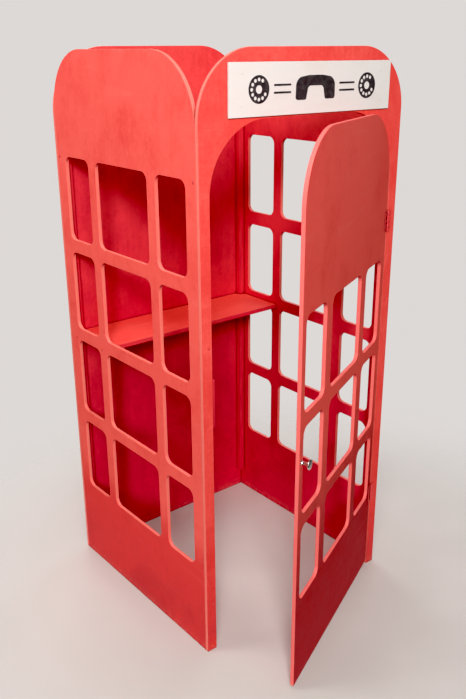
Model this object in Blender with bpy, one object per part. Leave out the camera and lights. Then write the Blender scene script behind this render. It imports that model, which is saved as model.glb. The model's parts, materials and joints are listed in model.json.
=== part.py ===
"""Small telephone booth in painted plywood, with an arched door standing ajar.

Two windowed side panels, a plain back panel and an arched front frame are screwed to
battens in the four corners. A shelf spans the sides, a sign board is pinned above the
doorway, and a windowed door hangs on two butt hinges and closes against a small stop.

Booth coordinates: x from the left side to the right, y from the front face to the back,
z up from the floor. The whole booth hangs on one empty, which centres it over the origin.
"""
from math import cos, pi, radians, sin

import bpy
from mathutils import Vector
from mathutils.geometry import tessellate_polygon

# Booth
WIDTH = 0.600
HEIGHT = 1.400
DEPTH = 0.594
PLY = 0.009
GAP = 0.0003

# The sheets are cut by hand: their heights and their rounded top corners differ a little
LEFT_HEIGHT = 1.3965
BACK_HEIGHT = 1.403
CORNER_R = 0.150
SIDE_REAR_CORNER_R = 0.137
FRAME_LEFT_CORNER_R = 0.142
FRAME_RIGHT_CORNER_R = 0.137

# Windows; the rows are cut by hand, so the two sides differ (foot and head of each row)
WINDOW_R = 0.020
SIDE_MARGIN = 0.037
SIDE_NARROW = 0.1105
SIDE_MULLION = 0.032
LEFT_ROWS = ((0.230, 0.433), (0.465, 0.670), (0.703, 0.910), (0.943, 1.149))
RIGHT_ROWS = ((0.221, 0.424), (0.457, 0.664), (0.697, 0.903), (0.941, 1.163))

# Doorway and door
JAMB = 0.027
ARCH_TOP = 1.262
ARCH_R = 0.150
DOOR_GAP = 0.003
DOOR_FOOT = 0.010
DOOR_AJAR = radians(24.5)
DOOR_STILE = 0.0205
DOOR_NARROW = 0.118
DOOR_MULLION = 0.034
DOOR_KICK = 0.232
DOOR_ROW_HEIGHTS = (0.192, 0.208, 0.212)
DOOR_RAIL = 0.031

# Hinges
HINGE_HEIGHTS = (0.237, 0.998)
HINGE_LENGTH = 0.050
LEAF_REACH = 0.014
LEAF_THICK = 0.0012
BARREL_R = 0.003
BORE_R = 0.00158
PIN_R = 0.0015
KNUCKLES = 5
KNUCKLE_PLAY = 0.0002
PIN_STANDOFF = 0.0021
HINGE_SCREW_PITCH = 0.016
HINGE_SCREW_OUT = 0.0088

# Battens, shelf, sign and stop
BATTEN = 0.018
BATTEN_FOOT = 0.062
BATTEN_TOP = 1.240
SHELF_TOP = 0.680
SHELF_THICK = 0.012
SHELF_DEPTH = 0.167
SHELF_SCREW_INSET = 0.010
SIGN_LEFT = 0.0743
SIGN_BOTTOM = 1.2669
SIGN_WIDTH = 0.4735
SIGN_HEIGHT = 0.105
SIGN_THICK = 0.004
SIGN_TILT = radians(0.3)
SIGN_PIN_INSET_X = 0.033
SIGN_PIN_INSET_Z = 0.021
STOP_REACH = 0.013
STOP_BOTTOM = 0.600
STOP_TOP = 0.715
STOP_NAIL_INSET = 0.018

# Knob
KNOB_HEIGHT = 0.590
KNOB_LENGTH = 0.022
KNOB_R = 0.012

# Fasteners: head radius, head height, shank radius
WOOD_SCREW = (0.0034, 0.0011, 0.0017)
SMALL_SCREW = (0.0026, 0.0009, 0.0012)
PIN_NAIL = (0.0016, 0.0006, 0.0008)
HOLE_PLAY = 0.0003
FACE_SCREW_HEIGHTS = (0.135, 0.795)
SIDE_SCREW_HEIGHTS = (0.252, 1.147)
BATTEN_SCREW_LENGTH = 0.022
SHELF_SCREW_LENGTH = 0.028

# Worked out from the above
PIN_X = WIDTH - JAMB - DOOR_GAP / 2
PIN_Y = -GAP - LEAF_THICK - PIN_STANDOFF
BATTEN_MID = PLY + GAP + (BATTEN - GAP) / 2
SHELF_MID = SHELF_TOP - SHELF_THICK / 2
SHELF_FRONT = DEPTH - PLY - SHELF_DEPTH
DOOR_EDGE = -DOOR_GAP / 2
DOOR_FREE = JAMB + DOOR_GAP - PIN_X
KNOB_X = DOOR_FREE + DOOR_STILE / 2
DOOR_FACE = -PIN_Y

FACING = {
    "front": (pi / 2, 0, 0),
    "back": (-pi / 2, 0, 0),
    "left": (0, -pi / 2, 0),
    "right": (0, pi / 2, 0),
}


def clear_scene():
    for obj in list(bpy.data.objects):
        bpy.data.objects.remove(obj, do_unlink=True)


def material(name, colour, roughness, metallic=0.0):
    mat = bpy.data.materials.new(name)
    mat.use_nodes = True
    shader = mat.node_tree.nodes["Principled BSDF"]
    shader.inputs["Base Color"].default_value = (*colour, 1.0)
    shader.inputs["Roughness"].default_value = roughness
    shader.inputs["Metallic"].default_value = metallic
    return mat


def add_mesh(name, verts, faces, mat, parent, at=(0, 0, 0), turn=(0, 0, 0), smooth_below=35):
    mesh = bpy.data.meshes.new(name)
    mesh.from_pydata(verts, [], faces)
    mesh.shade_smooth()
    mesh.set_sharp_from_angle(angle=radians(smooth_below))
    mesh.materials.append(mat)
    obj = bpy.data.objects.new(name, mesh)
    bpy.context.collection.objects.link(obj)
    obj.parent = parent
    obj.location = at
    obj.rotation_euler = turn
    return obj


def arc(cx, cy, r, start, end, steps):
    """Points on a circle from the start to the end angle, in degrees, both included."""
    angles = [radians(start + (end - start) * i / steps) for i in range(steps + 1)]
    return [(cx + r * cos(a), cy + r * sin(a)) for a in angles]


def circle(cx, cy, r, steps=12):
    return arc(cx, cy, r, 0, 360 - 360 / steps, steps - 1)


def rounded_top(x0, x1, top, r0, r1, foot=0.0):
    """An upright panel's outline: square feet, and top corners of radius r0 and r1."""
    points = [(x0, foot), (x1, foot)]
    points += arc(x1 - r1, top - r1, r1, 0, 90, 24)
    points += arc(x0 + r0, top - r0, r0, 90, 180, 24)
    return points


def rounded_window(x0, x1, z0, z1, r=WINDOW_R):
    points = arc(x1 - r, z0 + r, r, -90, 0, 7)
    points += arc(x1 - r, z1 - r, r, 0, 90, 7)
    points += arc(x0 + r, z1 - r, r, 90, 180, 7)
    points += arc(x0 + r, z0 + r, r, 180, 270, 7)
    return points


def plate(name, outline, holes, thick, mat, parent, at, turn):
    """A flat sheet cut from an outline with holes, standing on its local XY plane."""
    loops = [outline] + holes
    flat = [p for loop in loops for p in loop]
    count = len(flat)
    tris = tessellate_polygon([[Vector((x, y, 0)) for x, y in loop] for loop in loops])
    verts = [(x, y, 0.0) for x, y in flat] + [(x, y, thick) for x, y in flat]
    faces = []
    for a, b, c in tris:
        (ax, ay), (bx, by), (cx, cy) = flat[a], flat[b], flat[c]
        if (bx - ax) * (cy - ay) - (by - ay) * (cx - ax) < 0:
            b, c = c, b
        faces.append((a, c, b))
        faces.append((a + count, b + count, c + count))
    first = 0
    for number, loop in enumerate(loops):
        size = len(loop)
        for i in range(size):
            a = first + i
            b = first + (i + 1) % size
            if number:
                a, b = b, a
            faces.append((a, b, b + count, a + count))
        first += size
    return add_mesh(name, verts, faces, mat, parent, at, turn)


def front_plate(name, outline, holes, thick, mat, parent, x, y, z=0.0, tilt=0.0):
    """A sheet facing the front: its face at y, outline axes along x and z, tilted clockwise."""
    return plate(name, outline, holes, thick, mat, parent, (x, y + thick, z), (pi / 2, tilt, 0))


def side_plate(name, outline, holes, thick, mat, parent, x):
    """A sheet facing sideways: its low face at x, outline axes along y and z."""
    return plate(name, outline, holes, thick, mat, parent, (x, 0, 0), (pi / 2, 0, pi / 2))


def box(name, low, high, mat, parent):
    outline = [(0, 0), (high[0] - low[0], 0), (high[0] - low[0], high[1] - low[1])]
    outline.append((0, high[1] - low[1]))
    return plate(name, outline, [], high[2] - low[2], mat, parent, low, (0, 0, 0))


def lathe(name, profile, mat, parent, at, turn=(0, 0, 0), steps=16):
    """A solid turned about local Z, from a profile of (radius, z), highest point first."""
    verts = []
    rings = []
    for r, z in profile:
        if r == 0:
            rings.append([len(verts)])
            verts.append((0.0, 0.0, z))
        else:
            rings.append(range(len(verts), len(verts) + steps))
            verts += [(x, y, z) for x, y in circle(0, 0, r, steps)]
    faces = []
    for upper, lower in zip(rings, rings[1:]):
        for i in range(steps):
            j = (i + 1) % steps
            corners = [upper[i % len(upper)], lower[i % len(lower)]]
            corners += [lower[j % len(lower)], upper[j % len(upper)]]
            faces.append(tuple(dict.fromkeys(corners)))
    return add_mesh(name, verts, faces, mat, parent, at, turn)


def fastener(name, kind, length, mat, parent, at, facing):
    """A pan-headed screw or nail, its head standing on the surface at its origin."""
    head_r, head_h, shank_r = kind
    profile = [(0, head_h + GAP), (head_r * 0.55, head_h * 0.86 + GAP)]
    profile += [(head_r * 0.9, head_h * 0.45 + GAP), (head_r, GAP), (shank_r, GAP)]
    profile += [(shank_r, GAP - length + 2 * shank_r), (0, GAP - length)]
    return lathe(name, profile, mat, parent, at, FACING[facing], steps=12)


def hole_for(kind, x, y):
    return circle(x, y, kind[2] + HOLE_PLAY)


def drill(obj, kind, starts, depth, facing, parent):
    """Blind screw holes, sunk into the object from each start point."""
    r = kind[2] + HOLE_PLAY
    verts = []
    faces = []
    for start in starts:
        first = len(verts)
        ring = circle(0, 0, r)
        size = len(ring)
        for z in (0.001, -depth):
            for x, y in ring:
                turned = {
                    "front": (x, -z, y),
                    "back": (x, z, -y),
                    "left": (-z, y, x),
                    "right": (z, y, -x),
                }[facing]
                verts.append(tuple(s + t for s, t in zip(start, turned)))
        top = [first + i for i in range(size)]
        low = [first + size + i for i in range(size)]
        faces.append(tuple(top))
        faces.append(tuple(reversed(low)))
        faces += [(top[i], low[i], low[(i + 1) % size], top[(i + 1) % size]) for i in range(size)]
    cutter = add_mesh(obj.name + "_drill_" + facing, verts, faces, MATS["red_ply"], parent)
    cutter.hide_render = True
    cutter.display_type = "WIRE"
    modifier = obj.modifiers.new("holes_" + facing, "BOOLEAN")
    modifier.operation = "DIFFERENCE"
    modifier.solver = "EXACT"
    modifier.object = cutter


def side_columns():
    """The y range of each column of side windows, from the front."""
    y = PLY + SIDE_MARGIN
    wide = DEPTH - 2 * PLY - 2 * (SIDE_MARGIN + SIDE_NARROW + SIDE_MULLION)
    columns = []
    for width in (SIDE_NARROW, wide, SIDE_NARROW):
        columns.append((y, y + width))
        y += width + SIDE_MULLION
    return columns


def side_windows(rows):
    return [rounded_window(y0, y1, foot, head) for y0, y1 in side_columns() for foot, head in rows]


def door_windows():
    """Door windows in door coordinates: x from the hinge pin, negative to the free edge."""
    narrow = DOOR_NARROW
    wide = DOOR_EDGE - DOOR_FREE - 2 * (DOOR_STILE + narrow + DOOR_MULLION)
    windows = []
    x = DOOR_EDGE - DOOR_STILE
    for width in (narrow, wide, narrow):
        z = DOOR_KICK
        for height in DOOR_ROW_HEIGHTS:
            windows.append(rounded_window(x - width, x, z, z + height))
            z += height + DOOR_RAIL
        x -= width + DOOR_MULLION
    return windows


def sign_pin_insets():
    """Where the pins sit on the sign board, from its lower left corner."""
    across = (SIGN_PIN_INSET_X, SIGN_WIDTH - SIGN_PIN_INSET_X)
    up = (SIGN_PIN_INSET_Z, SIGN_HEIGHT - SIGN_PIN_INSET_Z)
    return [(u, v) for u in across for v in up]


def sign_pin_places():
    """The pins in booth coordinates: the board hangs a little low on its right."""
    c, s = cos(SIGN_TILT), sin(SIGN_TILT)
    return [(SIGN_LEFT + u * c + v * s, SIGN_BOTTOM - u * s + v * c) for u, v in sign_pin_insets()]


def hinge_screw_heights(centre):
    return [centre + step * HINGE_SCREW_PITCH for step in (-1, 0, 1)]


def shelf_screw_depths():
    """Where the shelf's end screws sit, in y: behind the mullion and by the back batten."""
    return (SHELF_FRONT + SHELF_SCREW_INSET, DEPTH - PLY - BATTEN - SHELF_SCREW_INSET)


def build_side_panels(root):
    holes = [hole_for(WOOD_SCREW, y, SHELF_MID) for y in shelf_screw_depths()]
    for y in (BATTEN_MID, DEPTH - BATTEN_MID):
        holes += [hole_for(WOOD_SCREW, y, z) for z in SIDE_SCREW_HEIGHTS]
    left = ("left_side_panel", LEFT_ROWS, 0.0, LEFT_HEIGHT)
    right = ("right_side_panel", RIGHT_ROWS, WIDTH - PLY, HEIGHT)
    for name, rows, x, top in (left, right):
        outline = rounded_top(PLY + GAP, DEPTH - PLY - GAP, top, CORNER_R, SIDE_REAR_CORNER_R)
        side_plate(name, outline, holes + side_windows(rows), PLY, MATS["red_ply"], root, x)


def build_back_panel(root):
    outline = rounded_top(0, WIDTH, BACK_HEIGHT, CORNER_R, CORNER_R)
    xs = (BATTEN_MID, WIDTH - BATTEN_MID)
    holes = [hole_for(WOOD_SCREW, x, z) for x in xs for z in FACE_SCREW_HEIGHTS]
    front_plate("back_panel", outline, holes, PLY, MATS["red_ply"], root, 0, DEPTH - PLY)


def frame_outline():
    """The arched frame: up the inside of the doorway, then back over the outside."""
    inner_right = WIDTH - JAMB
    low = ARCH_TOP - ARCH_R
    points = [(0, 0), (JAMB, 0)]
    points += arc(JAMB + ARCH_R, low, ARCH_R, 180, 90, 24)
    points += arc(inner_right - ARCH_R, low, ARCH_R, 90, 0, 24)
    points += [(inner_right, 0), (WIDTH, 0)]
    r = FRAME_RIGHT_CORNER_R
    points += arc(WIDTH - r, HEIGHT - r, r, 0, 90, 24)
    r = FRAME_LEFT_CORNER_R
    points += arc(r, HEIGHT - r, r, 90, 180, 24)
    return points


def build_front_frame(root):
    holes = [hole_for(PIN_NAIL, x, z) for x, z in sign_pin_places()]
    for x in (BATTEN_MID, WIDTH - BATTEN_MID):
        holes += [hole_for(WOOD_SCREW, x, z) for z in FACE_SCREW_HEIGHTS]
    for centre in HINGE_HEIGHTS:
        x = PIN_X + HINGE_SCREW_OUT
        holes += [hole_for(SMALL_SCREW, x, z) for z in hinge_screw_heights(centre)]
    front_plate("front_frame", frame_outline(), holes, PLY, MATS["red_ply"], root, 0, 0)


def build_battens(root):
    near = PLY + GAP
    for end, y0 in (("front", near), ("back", DEPTH - PLY - BATTEN)):
        y1 = y0 + BATTEN - GAP
        face_y = y0 if end == "front" else y1
        for side in ("left", "right"):
            x0 = near if side == "left" else WIDTH - PLY - BATTEN
            x1 = x0 + BATTEN - GAP
            mid_x, mid_y = (x0 + x1) / 2, (y0 + y1) / 2
            side_x = x0 if side == "left" else x1
            low, high = (x0, y0, BATTEN_FOOT), (x1, y1, BATTEN_TOP)
            batten = box(f"{end}_{side}_batten", low, high, MATS["red_batten"], root)
            depth = BATTEN_SCREW_LENGTH - PLY + 0.001
            faces = [(mid_x - x0, face_y - y0, z - BATTEN_FOOT) for z in FACE_SCREW_HEIGHTS]
            sides = [(side_x - x0, mid_y - y0, z - BATTEN_FOOT) for z in SIDE_SCREW_HEIGHTS]
            drill(batten, WOOD_SCREW, faces, depth, end, batten)
            drill(batten, WOOD_SCREW, sides, depth, side, batten)


def build_panel_screws(root):
    mat = MATS["painted_screw"]
    length = BATTEN_SCREW_LENGTH
    for end, y in (("front", 0.0), ("back", DEPTH)):
        for side, x in (("left", BATTEN_MID), ("right", WIDTH - BATTEN_MID)):
            for level, z in zip(("low", "high"), FACE_SCREW_HEIGHTS):
                name = f"{end}_screw_{side}_{level}"
                fastener(name, WOOD_SCREW, length, mat, root, (x, y, z), end)
    for side, x in (("left", 0.0), ("right", WIDTH)):
        for end, y in (("front", BATTEN_MID), ("back", DEPTH - BATTEN_MID)):
            for level, z in zip(("low", "high"), SIDE_SCREW_HEIGHTS):
                name = f"{side}_screw_{end}_{level}"
                fastener(name, WOOD_SCREW, length, mat, root, (x, y, z), side)
        for end, y in zip(("front", "back"), shelf_screw_depths()):
            place = (x, y, SHELF_MID)
            name = f"shelf_screw_{side}_{end}"
            fastener(name, WOOD_SCREW, SHELF_SCREW_LENGTH, mat, root, place, side)


def build_shelf(root):
    """A shelf with notched rear corners, so that it slides around the back battens."""
    x0, x1 = PLY + GAP, WIDTH - PLY - GAP
    y0, y1 = SHELF_FRONT, DEPTH - PLY - GAP
    outline = [(x0, y0), (x1, y0), (x1, y1 - BATTEN), (x1 - BATTEN, y1 - BATTEN), (x1 - BATTEN, y1)]
    outline += [(x0 + BATTEN, y1), (x0 + BATTEN, y1 - BATTEN), (x0, y1 - BATTEN)]
    low = (0, 0, SHELF_TOP - SHELF_THICK)
    shelf = plate("shelf", outline, [], SHELF_THICK, MATS["red_ply"], root, low, (0, 0, 0))
    depth = SHELF_SCREW_LENGTH - PLY + 0.001
    z = SHELF_THICK / 2
    for side, x in (("left", x0), ("right", x1)):
        starts = [(x, y, z) for y in shelf_screw_depths()]
        drill(shelf, WOOD_SCREW, starts, depth, side, shelf)


def build_sign(root):
    outline = [(0, 0), (SIGN_WIDTH, 0), (SIGN_WIDTH, SIGN_HEIGHT), (0, SIGN_HEIGHT)]
    holes = [hole_for(PIN_NAIL, u, v) for u, v in sign_pin_insets()]
    face = -GAP - SIGN_THICK
    front_plate("sign_board", outline, holes, SIGN_THICK, MATS["white_board"], root,
                SIGN_LEFT, face, SIGN_BOTTOM, SIGN_TILT)
    names = ("left_low", "left_high", "right_low", "right_high")
    for name, (x, z) in zip(names, sign_pin_places()):
        fastener("sign_pin_" + name, PIN_NAIL, 0.011, MATS["white_pin"], root, (x, face, z), "front")


def build_door_stop(root):
    x0 = PLY + BATTEN + GAP
    low = (x0, PLY + GAP, STOP_BOTTOM)
    high = (x0 + STOP_REACH, PLY + BATTEN, STOP_TOP)
    stop = box("door_stop", low, high, MATS["red_batten"], root)
    y = BATTEN_MID
    heights = (STOP_BOTTOM + STOP_NAIL_INSET, STOP_TOP - STOP_NAIL_INSET)
    starts = [(STOP_REACH, y - low[1], z - STOP_BOTTOM) for z in heights]
    drill(stop, PIN_NAIL, starts, STOP_REACH + 0.001, "right", stop)
    batten = bpy.data.objects["front_left_batten"]
    entry = BATTEN - GAP
    starts = [(entry, y - low[1], z - BATTEN_FOOT) for z in heights]
    drill(batten, PIN_NAIL, starts, 0.012, "right", batten)
    for level, z in zip(("low", "high"), heights):
        fastener("stop_nail_" + level, PIN_NAIL, 0.024, MATS["painted_screw"], root,
                 (high[0], y, z), "right")


def knuckle_spans(own):
    """The z range of each knuckle of a leaf, whose own knuckles have the given parity."""
    pitch = HINGE_LENGTH / KNUCKLES
    numbers = range(own, KNUCKLES, 2)
    return [(i * pitch + KNUCKLE_PLAY, (i + 1) * pitch - KNUCKLE_PLAY) for i in numbers]


def leaf_outline(spans):
    """A leaf's plate with a tab under each of its knuckles, a little shorter than the knuckle."""
    inset = KNUCKLE_PLAY
    clear = BARREL_R + 3 * KNUCKLE_PLAY
    points = [(LEAF_REACH, 0), (LEAF_REACH, HINGE_LENGTH), (clear, HINGE_LENGTH)]
    for low, high in reversed(spans):
        points += [(clear, high - inset), (0, high - inset), (0, low + inset), (clear, low + inset)]
    return points + [(clear, 0)]


def build_leaf(name, own, side, parent, at):
    """A leaf lying on the surface behind the pin; side +1 reaches to +x, -1 to -x."""
    spans = knuckle_spans(own)
    outline = leaf_outline(spans)
    screw_zs = hinge_screw_heights(HINGE_LENGTH / 2)
    holes = [hole_for(SMALL_SCREW, HINGE_SCREW_OUT, z) for z in screw_zs]
    if side < 0:
        outline = [(-x, z) for x, z in reversed(outline)]
        holes = [[(-x, z) for x, z in reversed(hole)] for hole in holes]
    x, y, z = at
    leaf_y = y + DOOR_FACE - GAP - LEAF_THICK
    leaf = front_plate(name, outline, holes, LEAF_THICK, MATS["hinge_paint"], parent, x, leaf_y, z)
    for number, (low, high) in enumerate(spans):
        tube = barrel(f"{name}_barrel_{number}", low, high, leaf)
        modifier = leaf.modifiers.new("barrel", "BOOLEAN")
        modifier.operation = "UNION"
        modifier.solver = "EXACT"
        modifier.object = tube
    return leaf


def barrel(name, low, high, leaf):
    """One knuckle, given in its leaf's own axes: x along the leaf, y up the pin."""
    steps = 24
    centre = DOOR_FACE - GAP
    verts = []
    for height in (low, high):
        for r in (BARREL_R, BORE_R):
            verts += [(x, height, centre + z) for x, z in circle(0, 0, r, steps)]
    faces = []
    for i in range(steps):
        j = (i + 1) % steps
        outer, inner = (i, j), (steps + i, steps + j)
        top = 2 * steps
        faces.append((outer[0], outer[1], inner[1], inner[0]))
        faces.append((outer[1] + top, outer[0] + top, inner[0] + top, inner[1] + top))
        faces.append((outer[1], outer[0], outer[0] + top, outer[1] + top))
        faces.append((inner[0], inner[1], inner[1] + top, inner[0] + top))
    tube = add_mesh(name, verts, faces, MATS["hinge_paint"], leaf)
    tube.hide_render = True
    tube.display_type = "WIRE"
    return tube


def build_hinge(root, door, level, centre):
    foot = centre - HINGE_LENGTH / 2
    build_leaf(f"{level}_hinge_frame_leaf", 0, 1, root, (PIN_X, PIN_Y, foot))
    build_leaf(f"{level}_hinge_door_leaf", 1, -1, door, (0, 0, foot))
    cap_r = BORE_R + 0.0007
    cap = 0.0012
    profile = [(0, HINGE_LENGTH + cap), (cap_r * 0.8, HINGE_LENGTH + cap * 0.8)]
    profile += [(cap_r, HINGE_LENGTH + cap * 0.3), (cap_r, HINGE_LENGTH), (PIN_R, HINGE_LENGTH)]
    profile += [(PIN_R, 0.0002), (0, 0.0002)]
    lathe(f"{level}_hinge_pin", profile, MATS["hinge_paint"], root, (PIN_X, PIN_Y, foot), steps=24)
    on_leaf = DOOR_FACE - GAP - LEAF_THICK
    length = PLY + LEAF_THICK + GAP
    for number, z in enumerate(hinge_screw_heights(centre), 1):
        fastener(f"{level}_hinge_frame_screw_{number}", SMALL_SCREW, length, MATS["hinge_paint"],
                 root, (PIN_X + HINGE_SCREW_OUT, PIN_Y + on_leaf, z), "front")
        fastener(f"{level}_hinge_door_screw_{number}", SMALL_SCREW, length, MATS["hinge_paint"],
                 door, (-HINGE_SCREW_OUT, on_leaf, z), "front")


def build_door_panel(door):
    top = ARCH_TOP - DOOR_GAP
    r = ARCH_R - DOOR_GAP
    outline = rounded_top(DOOR_FREE, DOOR_EDGE, top, r, r, DOOR_FOOT)
    holes = door_windows()
    holes.append(hole_for(WOOD_SCREW, KNOB_X, KNOB_HEIGHT))
    for centre in HINGE_HEIGHTS:
        holes += [hole_for(SMALL_SCREW, -HINGE_SCREW_OUT, z) for z in hinge_screw_heights(centre)]
    front_plate("door_panel", outline, holes, PLY, MATS["red_ply"], door, 0, DOOR_FACE)


def build_knob(door):
    """A flared knob on the outside, held by a screw from the inside of the door."""
    bore = WOOD_SCREW[2] + HOLE_PLAY
    tip = KNOB_LENGTH
    profile = [(0, tip), (KNOB_R * 0.62, tip - 0.0004), (KNOB_R * 0.93, tip - 0.0013)]
    profile += [(KNOB_R, tip - 0.0026), (KNOB_R * 0.97, tip - 0.0036)]
    profile += [(KNOB_R * 0.72, tip - 0.0068), (KNOB_R * 0.44, tip - 0.0105)]
    profile += [(0.0037, tip - 0.0135), (0.0035, 0.0035), (0.0042, 0.0018), (0.0055, GAP)]
    profile += [(bore, GAP), (bore, 0.011), (0, 0.011)]
    lathe("knob", profile, MATS["bright_metal"], door, (KNOB_X, DOOR_FACE, KNOB_HEIGHT),
          FACING["front"], steps=32)
    fastener("knob_screw", WOOD_SCREW, PLY + 0.009, MATS["bright_metal"], door,
             (KNOB_X, DOOR_FACE + PLY, KNOB_HEIGHT), "back")


def booth_centre_y():
    """Middle of the whole object in y, from the knob of the open door to the back screws."""
    knob_out = DOOR_FACE - KNOB_LENGTH
    front = PIN_Y + KNOB_X * sin(DOOR_AJAR) + knob_out * cos(DOOR_AJAR) - KNOB_R * sin(DOOR_AJAR)
    back = DEPTH + GAP + WOOD_SCREW[1]
    return (front + back) / 2


def main():
    root = bpy.data.objects.new("booth_origin", None)
    bpy.context.collection.objects.link(root)
    root.location = (-WIDTH / 2, -booth_centre_y(), 0)
    door = bpy.data.objects.new("door_hinge_axis", None)
    bpy.context.collection.objects.link(door)
    door.parent = root
    door.location = (PIN_X, PIN_Y, 0)
    door.rotation_euler = (0, 0, DOOR_AJAR)
    build_side_panels(root)
    build_back_panel(root)
    build_front_frame(root)
    build_battens(root)
    build_shelf(root)
    build_sign(root)
    build_door_stop(root)
    build_panel_screws(root)
    build_door_panel(door)
    build_knob(door)
    for level, centre in zip(("lower", "upper"), HINGE_HEIGHTS):
        build_hinge(root, door, level, centre)
    bpy.context.view_layer.update()


clear_scene()
MATS = {
    "red_ply": material("red_ply", (0.640, 0.045, 0.036), 0.62),
    "red_batten": material("red_batten", (0.560, 0.030, 0.028), 0.62),
    "painted_screw": material("painted_screw", (0.600, 0.040, 0.034), 0.50),
    "hinge_paint": material("hinge_paint", (0.520, 0.024, 0.024), 0.42),
    "white_board": material("white_board", (0.860, 0.830, 0.790), 0.50),
    "white_pin": material("white_pin", (0.780, 0.750, 0.700), 0.40),
    "bright_metal": material("bright_metal", (0.780, 0.770, 0.740), 0.22, 1.0),
}
main()
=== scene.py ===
"""Looks of the small plywood telephone booth: brushed red paint, a white sign, a plain studio."""

import json
from math import cos, hypot, pi, radians, sin, tau

import bpy
from mathutils import Matrix, Vector
from mathutils.geometry import tessellate_polygon


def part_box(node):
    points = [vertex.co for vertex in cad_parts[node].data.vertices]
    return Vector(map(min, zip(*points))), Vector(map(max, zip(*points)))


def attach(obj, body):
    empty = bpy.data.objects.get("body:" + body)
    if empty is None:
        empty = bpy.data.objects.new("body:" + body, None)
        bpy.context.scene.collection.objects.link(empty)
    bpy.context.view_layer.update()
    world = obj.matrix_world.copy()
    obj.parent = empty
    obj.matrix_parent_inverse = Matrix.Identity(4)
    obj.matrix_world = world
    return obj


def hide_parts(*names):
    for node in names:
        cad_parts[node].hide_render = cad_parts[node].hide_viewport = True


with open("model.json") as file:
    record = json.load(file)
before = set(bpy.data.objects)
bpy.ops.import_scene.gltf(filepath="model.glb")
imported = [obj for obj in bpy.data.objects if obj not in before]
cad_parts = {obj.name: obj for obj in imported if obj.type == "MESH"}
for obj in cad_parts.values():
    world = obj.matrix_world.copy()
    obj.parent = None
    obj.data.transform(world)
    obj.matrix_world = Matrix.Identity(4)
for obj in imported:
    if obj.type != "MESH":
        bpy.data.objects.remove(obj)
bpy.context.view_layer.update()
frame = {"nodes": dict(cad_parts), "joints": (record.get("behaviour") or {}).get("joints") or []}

NODES = frame["nodes"]
DOOR_AJAR = -radians(frame["joints"][0]["range_deg"][0])
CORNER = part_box("front_frame")[0]

# Camera, from the booth's near lower corner
CAMERA_FROM_CORNER = Vector((-0.9560, -1.2847, 1.3993))
CAMERA_YAW = radians(39.013)
CAMERA_PITCH = radians(20.596)
CAMERA_ROLL = radians(0.346)
CAMERA_LENS = 41.48

# Outward directions
LEFT, RIGHT = Vector((-1, 0, 0)), Vector((1, 0, 0))
FRONT, BACK = Vector((0, -1, 0)), Vector((0, 1, 0))
UP = Vector((0, 0, 1))
DOOR_TURN = Matrix.Rotation(DOOR_AJAR, 3, "Z")
DOOR_FRONT = DOOR_TURN @ FRONT
DOOR_BACK = DOOR_TURN @ BACK

# Paint, as linear colours; a pair is a coat's deep and pale shade
RED_DEEP = (0.770, 0.074, 0.066)
RED_PALE = (0.880, 0.124, 0.104)
# The foot's reds: on the kick boards a deeper coat that is also painted shade, darker towards the
# floor; on the door and the frame's foot they are painted shade
KICK_COAT_AND_SHADE = ((0.610, 0.035, 0.037), (0.730, 0.056, 0.055))
DOOR_KICK_SHADE = ((0.375, 0.008, 0.016), (0.450, 0.014, 0.022))
FRAME_FOOT_SHADE = ((0.690, 0.054, 0.050), (0.800, 0.086, 0.078))
# The inner faces' deeper reds are painted shade for the booth's shaded inside, darker still
# towards the floor
RED_INSIDE = (0.560, 0.031, 0.054)
RED_INSIDE_PALE = (0.720, 0.054, 0.071)
INSIDE_LOW_SHADE = ((0.500, 0.016, 0.047), (0.635, 0.034, 0.061))
# Painted shade in the gaps between pieces
RED_GAP_SHADE = (0.200, 0.008, 0.012)
RED_CHALK = (0.880, 0.190, 0.160)
RED_GRIMY = (0.430, 0.030, 0.042)
RED_SAWN = (0.890, 0.235, 0.190)
DOOR_EDGE = (0.815, 0.188, 0.172)
SHELF_EDGE = (0.620, 0.022, 0.053)
PRIMER = (0.800, 0.420, 0.300)
BARE_WOOD = (0.620, 0.400, 0.230)
SIGN_WHITE = (0.775, 0.745, 0.722)
SIGN_AGED = (0.700, 0.640, 0.580)
SIGN_INK = (0.030, 0.024, 0.028)
SIGN_INK_WORN = (0.062, 0.052, 0.055)
METAL_BRIGHT = (0.86, 0.84, 0.80)
METAL_DULL = (0.62, 0.59, 0.55)
# Painted shade in the hardware's gaps
HARDWARE_GAP_SHADE = (0.060, 0.004, 0.006)
PAINT_SPECULAR, SPECULAR = 0.16, 0.5

# Sheets, in metres: a ply's thickness, how far the painted shade in a gap reaches, and heights
# over the floor
PLY_LAYER = 0.0018
GAP_SHADE_REACH = 0.010
# Tops of the darker foot, painted shade in part: the frame's and the door's reach well above a
# kick board
KICK_TOP, FRAME_KICK_SHADE_TOP, DOOR_KICK_SHADE_TOP = 0.42, 0.60, 0.74
KICK_FULL = 0.30
GRIME_TOP = 0.24
DUST_TOP = 0.030
# Inner faces darken towards the floor below this, as painted shade
INSIDE_SHADE_TOP, INSIDE_SHADE_FULL = 0.80, 0.25
# Above this the inner faces turn partway to the outer red, as painted light on the open top
LIT_TOP_FROM, LIT_TOP_FULL = 1.12, 1.32

# Widths of the softened edges, in metres
SHEET_EDGE, HANDLED_EDGE, BATTEN_EDGE = 0.0009, 0.0010, 0.0012
LEAF_EDGE, KNOB_EDGE, SIGN_EDGE = 0.0002, 0.0003, 0.0005

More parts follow.
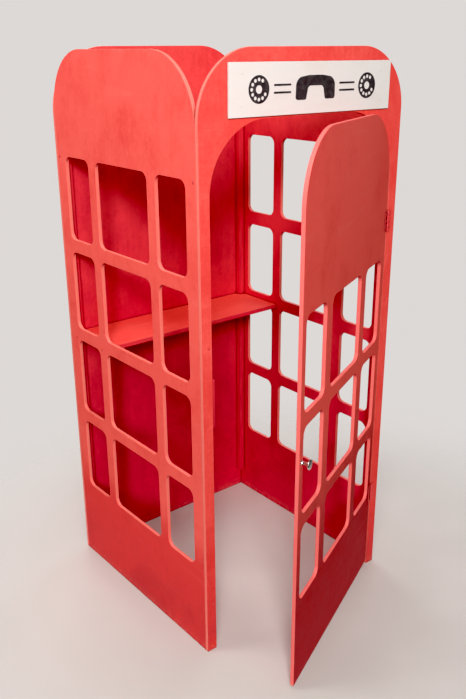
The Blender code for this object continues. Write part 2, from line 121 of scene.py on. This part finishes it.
# Screws: head radius, head height and shank radius; then shares of the head's size
PAN_SCREW = (0.0034, 0.0011, 0.0017)
HINGE_SCREW = (0.0026, 0.0009, 0.0012)
SCREW_SIDES = 40
HEAD_RINGS = (0.10, 0.2, 0.3, 0.42, 0.54, 0.60, 0.64, 0.72, 0.80, 0.88, 0.95, 1.0)
HEAD_CROWN, HEAD_RIM, RIM_FALL = 0.15, 0.80, 2.2
CROSS_HALF_WIDTH, CROSS_REACH, CROSS_DEPTH = 0.13, 0.62, 0.35

# The picture on the sign, in metres
INK_THICK = 0.0004
DIAL_R = 0.0275
DIAL_REACH = 0.159
RULE_REACH = 0.095
RULE_HALF_LENGTH, RULE_HALF_WIDTH, RULE_END_R = 0.024, 0.002, 0.0019
RULE_LEVELS = (-0.0075, 0.0075)

# Surroundings
BACKDROP = (0.730, 0.700, 0.680)
FLOOR = (0.600, 0.575, 0.555)
FLOOR_PALE = (0.618, 0.59225, 0.57165)
FLOOR_R, FLOOR_SOLID_R, FLOOR_GONE_R = 1.4, 0.50, 1.35
WORLD_LIGHT = (1.0, 0.97, 0.95)
WORLD_STRENGTH = 0.09
BLACK_LEVEL = 0.024
LIGHT_TARGET = (0.0, 0.0, 1.1)
WARM, PLAIN = (1.0, 0.97, 0.94), (1.0, 0.985, 0.975)
WINDOW_FROM, WINDOW_POWER, WINDOW_ANGLE = (-1.72, -2.20, 2.42), 1.62, radians(10)
AREA_LIGHTS = (  # name, place, power in watts, size, colour
    ("key", (-1.9, 0.9, 2.4), 26, 1.0, WARM),
    ("fill", (-1.3, -1.5, 1.9), 29, 0.7, WARM),
    ("front", (-0.4, -1.9, 2.4), 6, 0.9, WARM),
    ("ceiling", (0.0, -0.2, 3.0), 16.5, 1.2, WARM),
    ("rear", (0.7, 2.6, 1.5), 36, 1.6, PLAIN),
    ("right_side", (2.5, 1.3, 1.4), 25, 1.6, PLAIN),
)


# Shader graphs

class Graph:
    """The node graph of one material, built by linking small steps."""

    def __init__(self, name):
        self.material = bpy.data.materials.new(name)
        self.material.use_nodes = True
        self.tree = self.material.node_tree
        self.shader = self.tree.nodes["Principled BSDF"]
        self.place = self.node("ShaderNodeTexCoord").outputs["Object"]

    def node(self, kind, inputs=None, **settings):
        made = self.tree.nodes.new(kind)
        for key, value in settings.items():
            setattr(made, key, value)
        for key, value in (inputs or {}).items():
            self.put(made.inputs[key], value)
        return made

    def put(self, socket, value):
        if isinstance(value, bpy.types.NodeSocket):
            self.tree.links.new(value, socket)
        elif isinstance(value, tuple) and len(value) == 3 and socket.type == "RGBA":
            socket.default_value = (*value, 1.0)
        else:
            socket.default_value = value

    def math(self, operation, a, b=0.0):
        return self.node("ShaderNodeMath", {0: a, 1: b}, operation=operation).outputs[0]

    def times(self, a, b):
        return self.math("MULTIPLY", a, b)

    def total(self, *terms):
        """The sum of values, each a value or a (value, weight) pair."""
        weighted = [self.times(*term) if isinstance(term, tuple) else term for term in terms]
        whole = weighted[0]
        for term in weighted[1:]:
            whole = self.math("ADD", whole, term)
        return whole

    def height(self):
        return self.dot(self.place, UP)

    def dot(self, vector, axis):
        inputs = {0: vector, 1: tuple(axis)}
        return self.node("ShaderNodeVectorMath", inputs, operation="DOT_PRODUCT").outputs["Value"]

    def stretch(self, scales, turn=0.0):
        inputs = {"Vector": self.place, "Rotation": (0.0, 0.0, -turn), "Scale": tuple(scales)}
        return self.node("ShaderNodeMapping", inputs, vector_type="POINT").outputs[0]

    def noise(self, vector, scale, detail=3.0, roughness=0.5, distortion=0.0):
        inputs = {"Vector": vector, "Scale": scale, "Detail": detail, "Roughness": roughness}
        inputs["Distortion"] = distortion
        return self.node("ShaderNodeTexNoise", inputs).outputs["Fac"]

    def ramp(self, value, low, high, to_low=0.0, to_high=1.0):
        inputs = {"Value": value, "From Min": low, "From Max": high}
        inputs.update({"To Min": to_low, "To Max": to_high})
        made = self.node("ShaderNodeMapRange", inputs, interpolation_type="SMOOTHSTEP")
        return made.outputs[0]

    def mix(self, share, a, b):
        made = self.node("ShaderNodeMix", {0: share}, data_type="RGBA")
        self.put(made.inputs[6], a)
        self.put(made.inputs[7], b)
        return made.outputs[2]

    def blend(self, share, a, b):
        made = self.node("ShaderNodeMix", {0: share}, data_type="FLOAT")
        self.put(made.inputs[2], a)
        self.put(made.inputs[3], b)
        return made.outputs[0]

    def bump(self, height, depth, strength):
        inputs = {"Height": height, "Distance": depth, "Strength": strength}
        return self.node("ShaderNodeBump", inputs).outputs[0]

    def surface_normal(self):
        return self.node("ShaderNodeTexCoord").outputs["Normal"]

    def facing(self, axis):
        """How far a surface point faces along an axis, either way: 1 on the sheet's two faces."""
        return self.math("ABSOLUTE", self.dot(self.surface_normal(), axis))

    def corner_mask(self, reach, low=0.02, high=0.22):
        """1 on a corner and 0 away from it, from how much rounding would turn the surface."""
        rounded = self.node("ShaderNodeBevel", {"Radius": reach}, samples=4).outputs[0]
        plain = self.node("ShaderNodeNewGeometry").outputs["Normal"]
        inputs = {0: rounded, 1: plain}
        same = self.node("ShaderNodeVectorMath", inputs, operation="DOT_PRODUCT").outputs["Value"]
        return self.ramp(self.math("SUBTRACT", 1.0, same), low, high)

    def gap_shade(self, reach, starts=0.82, full=0.32):
        """Painted shade: 1 deep in a gap between pieces and 0 in the open."""
        made = self.node("ShaderNodeAmbientOcclusion", {"Distance": reach}, samples=6)
        return self.ramp(made.outputs["AO"], starts, full)

    def finish(self, colour, roughness, normal=None, specular=SPECULAR, metallic=0.0):
        self.put(self.shader.inputs["Base Color"], colour)
        self.put(self.shader.inputs["Roughness"], roughness)
        self.put(self.shader.inputs["Specular IOR Level"], specular)
        self.put(self.shader.inputs["Metallic"], metallic)
        if normal:
            self.put(self.shader.inputs["Normal"], normal)
        return self.material


def brush_marks(graph, turn, kick_top, flat):
    """Streaks of a wide brush, upright over the sheet and level across the kick board below.

    On a flat sheet they run from side to side. Gives the streaks, and 1 on the kick board to
    0 above kick_top.
    """
    run = (0.035, 1.0, 1.0) if flat else (1.0, 1.0, 0.035)
    upright = graph.noise(graph.stretch(run, turn), 170.0, 5.0, 0.62, 0.3)
    level = graph.noise(graph.stretch((0.04, 0.04, 1.0), turn), 170.0, 5.0, 0.62, 0.3)
    wander = graph.noise(graph.stretch((1.0, 1.0, 0.3), turn), 14.0, 2.0)
    kick = graph.ramp(graph.total(graph.height(), (wander, 0.16)), kick_top, KICK_FULL)
    return graph.blend(kick, upright, level), kick


def sheet_coat(graph, outward, kick, kick_shade_reds, shade):
    """The red of a sheet's two faces, and 1 on the outer face to 0 on the inner one, raised on the
    inner face near the open top as painted light. The inner face's deeper red is painted shade,
    darker still towards the floor.
    """
    height = graph.height()
    outside = graph.ramp(graph.dot(graph.surface_normal(), outward), -0.2, 0.2)
    painted_lit_top = graph.ramp(height, LIT_TOP_FROM, LIT_TOP_FULL, 0.0, 0.52)
    # Painted light: near the open top the inner face turns partway to the outer red.
    outside = graph.math("MAXIMUM", outside, painted_lit_top)
    # Painted shade: the inner face darkens towards the floor.
    low_inside_shade = graph.ramp(height, INSIDE_SHADE_TOP, INSIDE_SHADE_FULL)
    shaded_inner_deep = graph.mix(low_inside_shade, RED_INSIDE, INSIDE_LOW_SHADE[0])
    shaded_inner_pale = graph.mix(low_inside_shade, RED_INSIDE_PALE, INSIDE_LOW_SHADE[1])
    deep = graph.mix(outside, shaded_inner_deep, graph.mix(kick, RED_DEEP, kick_shade_reds[0]))
    pale = graph.mix(outside, shaded_inner_pale, graph.mix(kick, RED_PALE, kick_shade_reds[1]))
    return graph.mix(shade, deep, pale), outside


def sawn_edges(graph, outward, patch, edge_red):
    """The red of the cut faces, striped by the plies, with 1 on them and 0 on the sheet's faces.

    Cut faces that look down, in the tops of the windows, get the inside's deep red as painted
    shade.
    """
    sawn = graph.ramp(graph.facing(outward), 0.72, 0.35)
    layer = graph.times(graph.dot(graph.place, outward), tau / PLY_LAYER)
    layer = graph.ramp(graph.math("SINE", layer), -1.0, 1.0)
    stain = graph.times(layer, graph.ramp(patch, 0.35, 0.65, 0.15, 0.55))
    overhead_shade = graph.ramp(graph.dot(graph.surface_normal(), UP), -0.25, -0.75)
    red = graph.mix(overhead_shade, graph.mix(stain, edge_red, RED_PALE), RED_INSIDE)
    return red, sawn, layer


def painted_sheet(name, outward, turn=0.0, paleness=0.0, kick_shade_reds=KICK_COAT_AND_SHADE, kick_top=KICK_TOP,
                  edge_red=RED_SAWN):
    """Thin matte red paint over plywood: brush marks, clouding, sawn edges and rubbed corners.

    The outer side is paler and chalkier than the inner side, whose deeper red is painted shade,
    except near the open top, where the inner side turns partway pale as painted light. The foot
    is darker: a deeper coat on the kick board, and painted shade too. A larger paleness turns
    more of the coat to its pale shade.
    """
    graph = Graph(name)
    flat = outward == UP
    marks, kick = brush_marks(graph, turn, kick_top, flat)
    cloud = graph.noise(graph.place, 6.5, 4.0, 0.6, 0.6)
    patch_run = graph.stretch((0.3 if flat else 1.0, 1.0, 0.6), turn)
    patch = graph.noise(patch_run, 26.0, 3.0, 0.6, 0.8)
    mottle = graph.noise(graph.place, 115.0, 4.0, 0.7)
    speck = graph.noise(graph.place, 900.0, 2.0, 0.7)
    tone = graph.total((cloud, 0.38), (patch, 0.24), (marks, 0.14), (mottle, 0.24))
    shade = graph.ramp(tone, 0.38 - paleness, 0.64 - paleness)
    paint, outside = sheet_coat(graph, outward, kick, kick_shade_reds, shade)

    smear_run = graph.stretch((0.10, 1.0 if flat else 0.10, 1.0), turn)
    smear = graph.noise(smear_run, 60.0, 4.0, 0.65, 0.5)
    smear = graph.times(graph.ramp(smear, 0.52, 0.70), graph.ramp(cloud, 0.44, 0.60))
    smear = graph.times(graph.times(smear, outside), graph.blend(kick, 0.24, 0.10))
    paint = graph.mix(smear, paint, RED_CHALK)
    height = graph.height()
    grimy = graph.ramp(cloud, 0.35, 0.65, 0.18, 0.65)
    grimy = graph.times(graph.ramp(height, GRIME_TOP, 0.0), grimy)
    paint = graph.mix(graph.times(grimy, outside), paint, RED_GRIMY)

    edge_paint, sawn, layer = sawn_edges(graph, outward, patch, edge_red)
    colour = graph.mix(graph.times(sawn, 0.85), paint, edge_paint)

    corner = graph.corner_mask(0.0022)
    rub = graph.noise(graph.place, 60.0, 4.0, 0.65, 0.4)
    soft_rub = graph.times(corner, graph.ramp(rub, 0.36, 0.62, 0.1, 0.75))
    colour = graph.mix(soft_rub, colour, edge_red)
    low = graph.ramp(height, KICK_TOP, 0.05)
    chip = graph.noise(graph.place, 34.0, 5.0, 0.7, 0.5)
    chip = graph.total(chip, (low, 0.09))
    bare = graph.times(corner, graph.ramp(chip, 0.655, 0.70))
    colour = graph.mix(bare, colour, graph.mix(rub, PRIMER, BARE_WOOD))
    dust = graph.times(graph.ramp(height, DUST_TOP, 0.0), graph.ramp(mottle, 0.4, 0.65))
    colour = graph.mix(graph.times(dust, 0.16), colour, PRIMER)
    # Painted shade in the gaps between pieces
    colour = graph.mix(graph.times(graph.gap_shade(GAP_SHADE_REACH), 0.85), colour, RED_GAP_SHADE)

    roughness = graph.ramp(tone, 0.36, 0.66, 0.54, 0.68)
    relief = graph.total(marks, (speck, 0.16), (bare, -0.5), (graph.times(sawn, layer), -0.3))
    return graph.finish(colour, roughness, graph.bump(relief, 0.00035, 0.7), PAINT_SPECULAR)


def painted_batten(name):
    """The inside's deeper red, which is painted shade, on planed softwood, its upright grain
    showing through.
    """
    graph = Graph(name)
    grain = graph.noise(graph.stretch((1.0, 1.0, 0.02)), 420.0, 5.0, 0.6, 0.6)
    cloud = graph.noise(graph.stretch((1.0, 1.0, 0.3)), 22.0, 3.0, 0.6)
    tone = graph.total((grain, 0.5), (cloud, 0.5))
    colour = graph.mix(graph.ramp(tone, 0.38, 0.64), RED_INSIDE, RED_INSIDE_PALE)
    corner = graph.corner_mask(0.0020)
    rub = graph.noise(graph.place, 60.0, 4.0, 0.65)
    colour = graph.mix(graph.times(corner, graph.ramp(rub, 0.4, 0.75)), colour, RED_PALE)
    # Painted shade in the gaps between pieces
    colour = graph.mix(graph.times(graph.gap_shade(GAP_SHADE_REACH), 0.85), colour, RED_GAP_SHADE)
    roughness = graph.ramp(tone, 0.38, 0.64, 0.50, 0.64)
    return graph.finish(colour, roughness, graph.bump(grain, 0.0004, 0.7), PAINT_SPECULAR)


def painted_steel(name, rub_colour, gloss):
    """Hardware painted over with the booth, rubbed back to steel on its corners, with painted
    shade in its gaps.
    """
    graph = Graph(name)
    cloud = graph.noise(graph.place, 180.0, 4.0, 0.6, 0.4)
    blob = graph.noise(graph.place, 700.0, 3.0, 0.6)
    colour = graph.mix(graph.ramp(cloud, 0.35, 0.65), RED_INSIDE_PALE, RED_DEEP)
    corner = graph.corner_mask(0.0006)
    rub = graph.times(corner, graph.ramp(blob, 0.50, 0.68))
    colour = graph.mix(rub, colour, rub_colour)
    # Painted shade in the hinge's gaps and round the screw heads
    colour = graph.mix(graph.gap_shade(0.005, 0.90, 0.45), colour, HARDWARE_GAP_SHADE)
    roughness = graph.ramp(cloud, 0.3, 0.7, gloss, gloss + 0.14)
    relief = graph.bump(blob, 0.00015, 0.6)
    return graph.finish(colour, roughness, relief, SPECULAR, graph.times(rub, 0.9))


def bright_metal(name):
    """Polished metal with fine turning marks and a dulled film in places."""
    graph = Graph(name)
    film = graph.noise(graph.place, 160.0, 4.0, 0.6, 0.5)
    marks = graph.noise(graph.place, 2600.0, 2.0, 0.6)
    colour = graph.mix(graph.ramp(film, 0.35, 0.7), METAL_BRIGHT, METAL_DULL)
    roughness = graph.ramp(film, 0.3, 0.7, 0.14, 0.34)
    relief = graph.bump(marks, 0.00003, 0.4)
    return graph.finish(colour, roughness, relief, SPECULAR, 1.0)


def white_board(name):
    """Satin white paint on thin hardboard, rolled on, yellowed and grubby at the rim."""
    graph = Graph(name)
    roll = graph.noise(graph.place, 480.0, 3.0, 0.6)
    cloud = graph.noise(graph.stretch((0.4, 1.0, 1.0)), 17.0, 4.0, 0.6, 0.5)
    colour = graph.mix(graph.ramp(cloud, 0.42, 0.75, 0.0, 0.45), SIGN_WHITE, SIGN_AGED)
    corner = graph.corner_mask(0.0030, 0.01, 0.15)
    grime = graph.times(corner, graph.ramp(cloud, 0.3, 0.7, 0.25, 0.8))
    colour = graph.mix(grime, colour, SIGN_AGED)
    roughness = graph.ramp(cloud, 0.3, 0.7, 0.42, 0.55)
    return graph.finish(colour, roughness, graph.bump(roll, 0.00012, 0.5))


def sign_ink(name):
    """Matt black signwriting paint, a little uneven."""
    graph = Graph(name)
    cloud = graph.noise(graph.place, 90.0, 4.0, 0.6)
    fine = graph.noise(graph.place, 900.0, 2.0, 0.6)
    colour = graph.mix(graph.ramp(cloud, 0.35, 0.7), SIGN_INK, SIGN_INK_WORN)
    roughness = graph.ramp(cloud, 0.3, 0.7, 0.45, 0.6)
    return graph.finish(colour, roughness, graph.bump(fine, 0.0001, 0.4))


# Meshes

def new_object(name, verts, faces, body, mat, replaced=None, smooth_below=40):
    mesh = bpy.data.meshes.new(name)
    mesh.from_pydata([tuple(v) for v in verts], [], faces)
    mesh.shade_smooth()
    mesh.set_sharp_from_angle(angle=radians(smooth_below))
    mesh.materials.append(mat)
    obj = bpy.data.objects.new(name, mesh)
    bpy.context.scene.collection.objects.link(obj)
    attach(obj, body)
    if replaced:
        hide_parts(replaced)
    return obj


def arc(cx, cy, r, start, end, steps):
    """Points on a circle from the start to the end angle, in radians, both included."""
    angles = [start + (end - start) * i / steps for i in range(steps + 1)]
    return [(cx + r * cos(a), cy + r * sin(a)) for a in angles]


def circle(cx, cy, r, steps=32):
    return arc(cx, cy, r, 0, tau - tau / steps, steps - 1)


def filleted(corners, steps=10):
    """A closed outline from (x, y, radius) corners, each rounded by an arc."""
    points = []
    count = len(corners)
    for i, (x, y, r) in enumerate(corners):
        here = Vector((x, y))
        before = (Vector(corners[i - 1][:2]) - here).normalized()
        after = (Vector(corners[(i + 1) % count][:2]) - here).normalized()
        half = before.angle(after) / 2
        centre = here + (before + after).normalized() * (r / sin(half))
        first = here + before * (before.dot(centre - here)) - centre
        last = here + after * (after.dot(centre - here)) - centre
        turn = first.angle_signed(last)
        for k in range(steps + 1):
            a = -turn * k / steps
            points.append((centre.x + first.x * cos(a) - first.y * sin(a),
                           centre.y + first.x * sin(a) + first.y * cos(a)))
    return points


def add_plate(verts, faces, outline, holes, place, thick):
    """Adds a flat plate to a mesh; place turns (u, v, depth) into a point in space."""
    loops = [outline] + holes
    flat = [p for loop in loops for p in loop]
    first, count = len(verts), len(flat)
    verts += [place(u, v, 0.0) for u, v in flat] + [place(u, v, thick) for u, v in flat]
    for tri in tessellate_polygon([[Vector((u, v, 0)) for u, v in loop] for loop in loops]):
        (ax, ay), (bx, by), (cx, cy) = (flat[i] for i in tri)
        a, b, c = tri
        if (bx - ax) * (cy - ay) - (by - ay) * (cx - ax) < 0:
            b, c = c, b
        faces.append((first + a, first + c, first + b))
        faces.append((first + count + a, first + count + b, first + count + c))
    start = first
    for number, loop in enumerate(loops):
        size = len(loop)
        for i in range(size):
            a, b = start + i, start + (i + 1) % size
            if number:
                a, b = b, a
            faces.append((a, b, b + count, a + count))
        start += size


def handset_outline():
    """A telephone handset lying across: a bowed grip with a cup hanging at each end."""
    right = [(0.022, 0.004, 0.009), (0.028, -0.024, 0.004), (0.058, -0.024, 0.006)]
    right += [(0.057, 0.020, 0.020), (0.020, 0.025, 0.030)]
    left = [(-x, y, r) for x, y, r in reversed(right)]
    return filleted(right + left)


def dial_holes(r):
    """A rotary dial's hub and its ten finger holes around three quarters of a turn."""
    holes = [circle(0, 0, r * 0.30)]
    for i in range(10):
        angle = radians(60 + 30 * i)
        holes.append(circle(r * 0.70 * cos(angle), r * 0.70 * sin(angle), r * 0.135, 20))
    return [list(reversed(hole)) for hole in holes]


def sign_axes():
    """The middle of the sign board's face, and its own directions along and up: it is tilted."""
    low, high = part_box("sign_board")
    spots = [v.co for v in NODES["sign_board"].data.vertices]
    left_foot = min(spots, key=lambda co: co.x + co.z)
    right_foot = max(spots, key=lambda co: co.x - co.z)
    along = right_foot - left_foot
    along = Vector((along.x, 0, along.z)).normalized()
    centre = (low + high) / 2
    return Vector((centre.x, low.y, centre.z)), along, BACK.cross(along) * -1


def build_sign_picture(ink):
    """A handset between two dials and two pairs of rules, painted on the sign board."""
    centre, along, up = sign_axes()

    def at(du):
        return lambda u, v, depth: centre + along * (du + u) + up * v + FRONT * depth

    verts, faces = [], []
    add_plate(verts, faces, handset_outline(), [], at(0.0), INK_THICK)
    dial = circle(0, 0, DIAL_R, 64)
    for side in (-1, 1):
        add_plate(verts, faces, dial, dial_holes(DIAL_R), at(side * DIAL_REACH), INK_THICK)
        for level in RULE_LEVELS:
            low, high = level - RULE_HALF_WIDTH, level + RULE_HALF_WIDTH
            ends = [(-RULE_HALF_LENGTH, low), (RULE_HALF_LENGTH, low)]
            ends += [(RULE_HALF_LENGTH, high), (-RULE_HALF_LENGTH, high)]
            rule = filleted([(x, y, RULE_END_R) for x, y in ends], 6)
            add_plate(verts, faces, rule, [], at(side * RULE_REACH), INK_THICK)
    return new_object("sign_picture", verts, faces, "booth", ink)


def screw_head_height(x, y, head_r, head_h):
    """A pan head's top with a cross recess, shallow because paint fills it."""
    r = hypot(x, y) / head_r
    dome = head_h * (1 - HEAD_CROWN * r * r)
    if r > HEAD_RIM:
        dome *= max(0.0, 1 - ((r - HEAD_RIM) / (1 - HEAD_RIM)) ** RIM_FALL)
    across, along = min(abs(x), abs(y)), max(abs(x), abs(y))
    if across < CROSS_HALF_WIDTH * head_r and along < CROSS_REACH * head_r:
        dome -= CROSS_DEPTH * head_h
    return dome


def screw_profile(length, head_r, head_h, shank_r):
    """The screw's rings as lists of (x, y, height), from its crown to the shank's end."""
    turns = [tau * i / SCREW_SIDES for i in range(SCREW_SIDES)]
    rings = []
    for share in HEAD_RINGS:
        spots = [(share * head_r * cos(a), share * head_r * sin(a)) for a in turns]
        rings.append([(x, y, max(0.0, screw_head_height(x, y, head_r, head_h))) for x, y in spots])
    for height in (0.0, 2 * shank_r - length):
        rings.append([(shank_r * cos(a), shank_r * sin(a), height) for a in turns])
    return rings


def build_screw(node, facing, body, mat, slot, head_r, head_h, shank_r):
    """A detailed screw on the place of its plain solid: apex outwards, shank inwards."""
    spots = [v.co for v in NODES[node].data.vertices]
    apex = max(spots, key=lambda co: co.dot(facing)).copy()
    far = min(co.dot(facing) for co in spots)
    length = apex.dot(facing) - far - head_h
    side = Matrix.Rotation(screw_turn(node), 3, facing) @ facing.cross(UP).normalized()
    other = facing.cross(side)
    seat = apex - facing * head_h

    rings = screw_profile(length, head_r, head_h, shank_r)
    crown = (0, 0, screw_head_height(0, 0, head_r, head_h))
    points = [crown] + [point for ring in rings for point in ring] + [(0, 0, -length)]
    verts = [seat + side * x + other * y + facing * h for x, y, h in points]

    faces = []
    last = len(verts) - 1
    for i in range(SCREW_SIDES):
        j = (i + 1) % SCREW_SIDES
        faces.append((0, 1 + i, 1 + j))
        for ring in range(len(rings) - 1):
            a = 1 + ring * SCREW_SIDES
            b = a + SCREW_SIDES
            faces.append((a + i, b + i, b + j, a + j))
        end = 1 + (len(rings) - 1) * SCREW_SIDES
        faces.append((end + i, last, end + j))
    return new_object(node + "_head", verts, faces, body, mat, node, 50)


def screw_turn(name):
    """A fixed angle for each screw, so that their crosses don't line up."""
    return radians(sum((i + 3) * ord(c) for i, c in enumerate(name)) % 90)


# The carried-over solids

def soften(obj, width):
    """Rounds a solid's edges: joins its split corners, clears flat seams, then bevels."""
    weld = obj.modifiers.new("weld", "WELD")
    weld.merge_threshold = 0.00002
    flat = obj.modifiers.new("flat", "DECIMATE")
    flat.decimate_type = "DISSOLVE"
    flat.angle_limit = radians(0.5)
    bevel = obj.modifiers.new("edges", "BEVEL")
    bevel.width = width
    bevel.segments = 2
    bevel.limit_method = "ANGLE"
    bevel.angle_limit = radians(40)
    bevel.use_clamp_overlap = False
    bevel.harden_normals = True


def dress(nodes, mat, width):
    """Gives carried-over solids their material, and softened edges where width isn't 0."""
    for name in nodes:
        obj = NODES[name]
        obj.data.materials.clear()
        obj.data.materials.append(mat)
        if width:
            soften(obj, width)


def dress_sheets():
    left = painted_sheet("paint_left", LEFT, paleness=0.08)
    right = painted_sheet("paint_right", RIGHT, paleness=0.05)
    # The frame's foot reds are painted shade
    front = painted_sheet("paint_front", FRONT, 0.0, -0.02, FRAME_FOOT_SHADE, FRAME_KICK_SHADE_TOP)
    back = painted_sheet("paint_back", BACK, paleness=0.03)
    # The door's larger paleness is painted light on its face; its foot reds are painted shade
    door = painted_sheet("paint_door", DOOR_FRONT, DOOR_AJAR, 0.10, DOOR_KICK_SHADE, DOOR_KICK_SHADE_TOP,
                         DOOR_EDGE)
    shelf = painted_sheet("paint_shelf", UP, paleness=-0.04, edge_red=SHELF_EDGE)
    dress(("left_side_panel",), left, SHEET_EDGE)
    dress(("right_side_panel",), right, SHEET_EDGE)
    dress(("front_frame",), front, SHEET_EDGE)
    dress(("back_panel",), back, SHEET_EDGE)
    dress(("door_panel",), door, HANDLED_EDGE)
    dress(("shelf",), shelf, HANDLED_EDGE)
    battens = [name for name in NODES if name.endswith("_batten")] + ["door_stop"]
    dress(battens, painted_batten("paint_battens"), BATTEN_EDGE)


def dress_hardware():
    hinge = painted_steel("paint_hinges", (0.42, 0.38, 0.35), 0.38)
    dress([name for name in NODES if name.endswith("_leaf")], hinge, LEAF_EDGE)
    dress([name for name in NODES if name.endswith("_hinge_pin")], hinge, 0)
    over = painted_steel("paint_screws", (0.50, 0.42, 0.38), 0.46)
    metal = bright_metal("knob_metal")
    dress(("knob",), metal, KNOB_EDGE)
    nails = painted_steel("pin_paint", (0.5, 0.46, 0.42), 0.40)
    dress([name for name in NODES if name.startswith("stop_nail")], nails, 0)
    ways = {"front_screw": FRONT, "back_screw": BACK, "left_screw": LEFT, "right_screw": RIGHT,
            "shelf_screw_left": LEFT, "shelf_screw_right": RIGHT}
    for name in list(NODES):
        for start, way in ways.items():
            if name.startswith(start):
                build_screw(name, way, "booth", over, "painted_screw", *PAN_SCREW)
        if "hinge_frame_screw" in name:
            build_screw(name, FRONT, "booth", hinge, "hinge_paint", *HINGE_SCREW)
        if "hinge_door_screw" in name:
            build_screw(name, DOOR_FRONT, "door", hinge, "hinge_paint", *HINGE_SCREW)
    build_screw("knob_screw", DOOR_BACK, "door", metal, "bright_metal", *PAN_SCREW)


def dress_sign():
    dress(("sign_board",), white_board("sign_paint"), SIGN_EDGE)
    pins = [name for name in NODES if name.startswith("sign_pin")]
    dress(pins, white_board("sign_pin_paint"), 0)
    build_sign_picture(sign_ink("sign_ink"))


# Studio

def build_floor():
    """A pale floor that fades into the backdrop, so that no horizon shows."""
    mesh = bpy.data.meshes.new("floor")
    rim = circle(0, 0, FLOOR_R, 96)
    mesh.from_pydata([(x, y, 0.0) for x, y in rim], [], [tuple(range(len(rim)))])
    graph = Graph("studio_floor")
    cloud = graph.noise(graph.place, 3.0, 3.0)
    colour = graph.mix(graph.ramp(cloud, 0.3, 0.7), FLOOR, FLOOR_PALE)
    graph.finish(colour, 0.7, specular=0.2)
    away = graph.node("ShaderNodeVectorMath", {0: graph.place}, operation="LENGTH")
    opaque = graph.ramp(away.outputs["Value"], FLOOR_GONE_R, FLOOR_SOLID_R)
    graph.put(graph.shader.inputs["Alpha"], opaque)
    mesh.materials.append(graph.material)
    floor = bpy.data.objects.new("floor", mesh)
    bpy.context.scene.collection.objects.link(floor)


def add_light(kind, name, place, power, colour, **shape):
    light = bpy.data.lights.new(name, kind)
    light.energy = power
    light.color = colour
    for key, value in shape.items():
        setattr(light, key, value)
    obj = bpy.data.objects.new(name, light)
    obj.location = place
    way = Vector(LIGHT_TARGET) - Vector(place)
    obj.rotation_euler = way.to_track_quat("-Z", "Y").to_euler()
    obj.visible_camera = False
    bpy.context.scene.collection.objects.link(obj)


def build_world():
    """Pale surroundings: the camera sees them brighter than the light that they give."""
    world = bpy.data.worlds.new("studio")
    world.use_nodes = True
    bpy.context.scene.world = world
    tree = world.node_tree
    tree.nodes.clear()
    light, seen = (tree.nodes.new("ShaderNodeBackground") for _ in range(2))
    light.inputs["Color"].default_value = (*WORLD_LIGHT, 1.0)
    light.inputs["Strength"].default_value = WORLD_STRENGTH
    seen.inputs["Color"].default_value = (*BACKDROP, 1.0)
    seen.inputs["Strength"].default_value = 1.0
    path = tree.nodes.new("ShaderNodeLightPath")
    mix = tree.nodes.new("ShaderNodeMixShader")
    out = tree.nodes.new("ShaderNodeOutputWorld")
    tree.links.new(path.outputs["Is Camera Ray"], mix.inputs[0])
    tree.links.new(light.outputs[0], mix.inputs[1])
    tree.links.new(seen.outputs[0], mix.inputs[2])
    tree.links.new(mix.outputs[0], out.inputs[0])


def build_camera():
    data = bpy.data.cameras.new("camera")
    data.lens = CAMERA_LENS
    data.sensor_width = 36
    camera = bpy.data.objects.new("camera", data)
    turn = Matrix.Rotation(-CAMERA_YAW, 4, "Z") @ Matrix.Rotation(pi / 2 - CAMERA_PITCH, 4, "X")
    turn = turn @ Matrix.Rotation(-CAMERA_ROLL, 4, "Z")
    camera.matrix_world = Matrix.Translation(CORNER + CAMERA_FROM_CORNER) @ turn
    bpy.context.scene.collection.objects.link(camera)
    bpy.context.scene.camera = camera


def build_studio():
    """Floor, surroundings, camera, lights, and a little lift of the black level."""
    build_floor()
    build_world()
    build_camera()
    add_light("SUN", "window", WINDOW_FROM, WINDOW_POWER, PLAIN, angle=WINDOW_ANGLE)
    for name, place, power, size, colour in AREA_LIGHTS:
        add_light("AREA", name, place, power, colour, size=size)
    view = bpy.context.scene.view_settings
    view.view_transform = "Standard"
    view.use_curve_mapping = True
    view.curve_mapping.black_level = (BLACK_LEVEL,) * 3
    view.curve_mapping.update()


build_studio()
dress_sheets()
dress_hardware()
dress_sign()
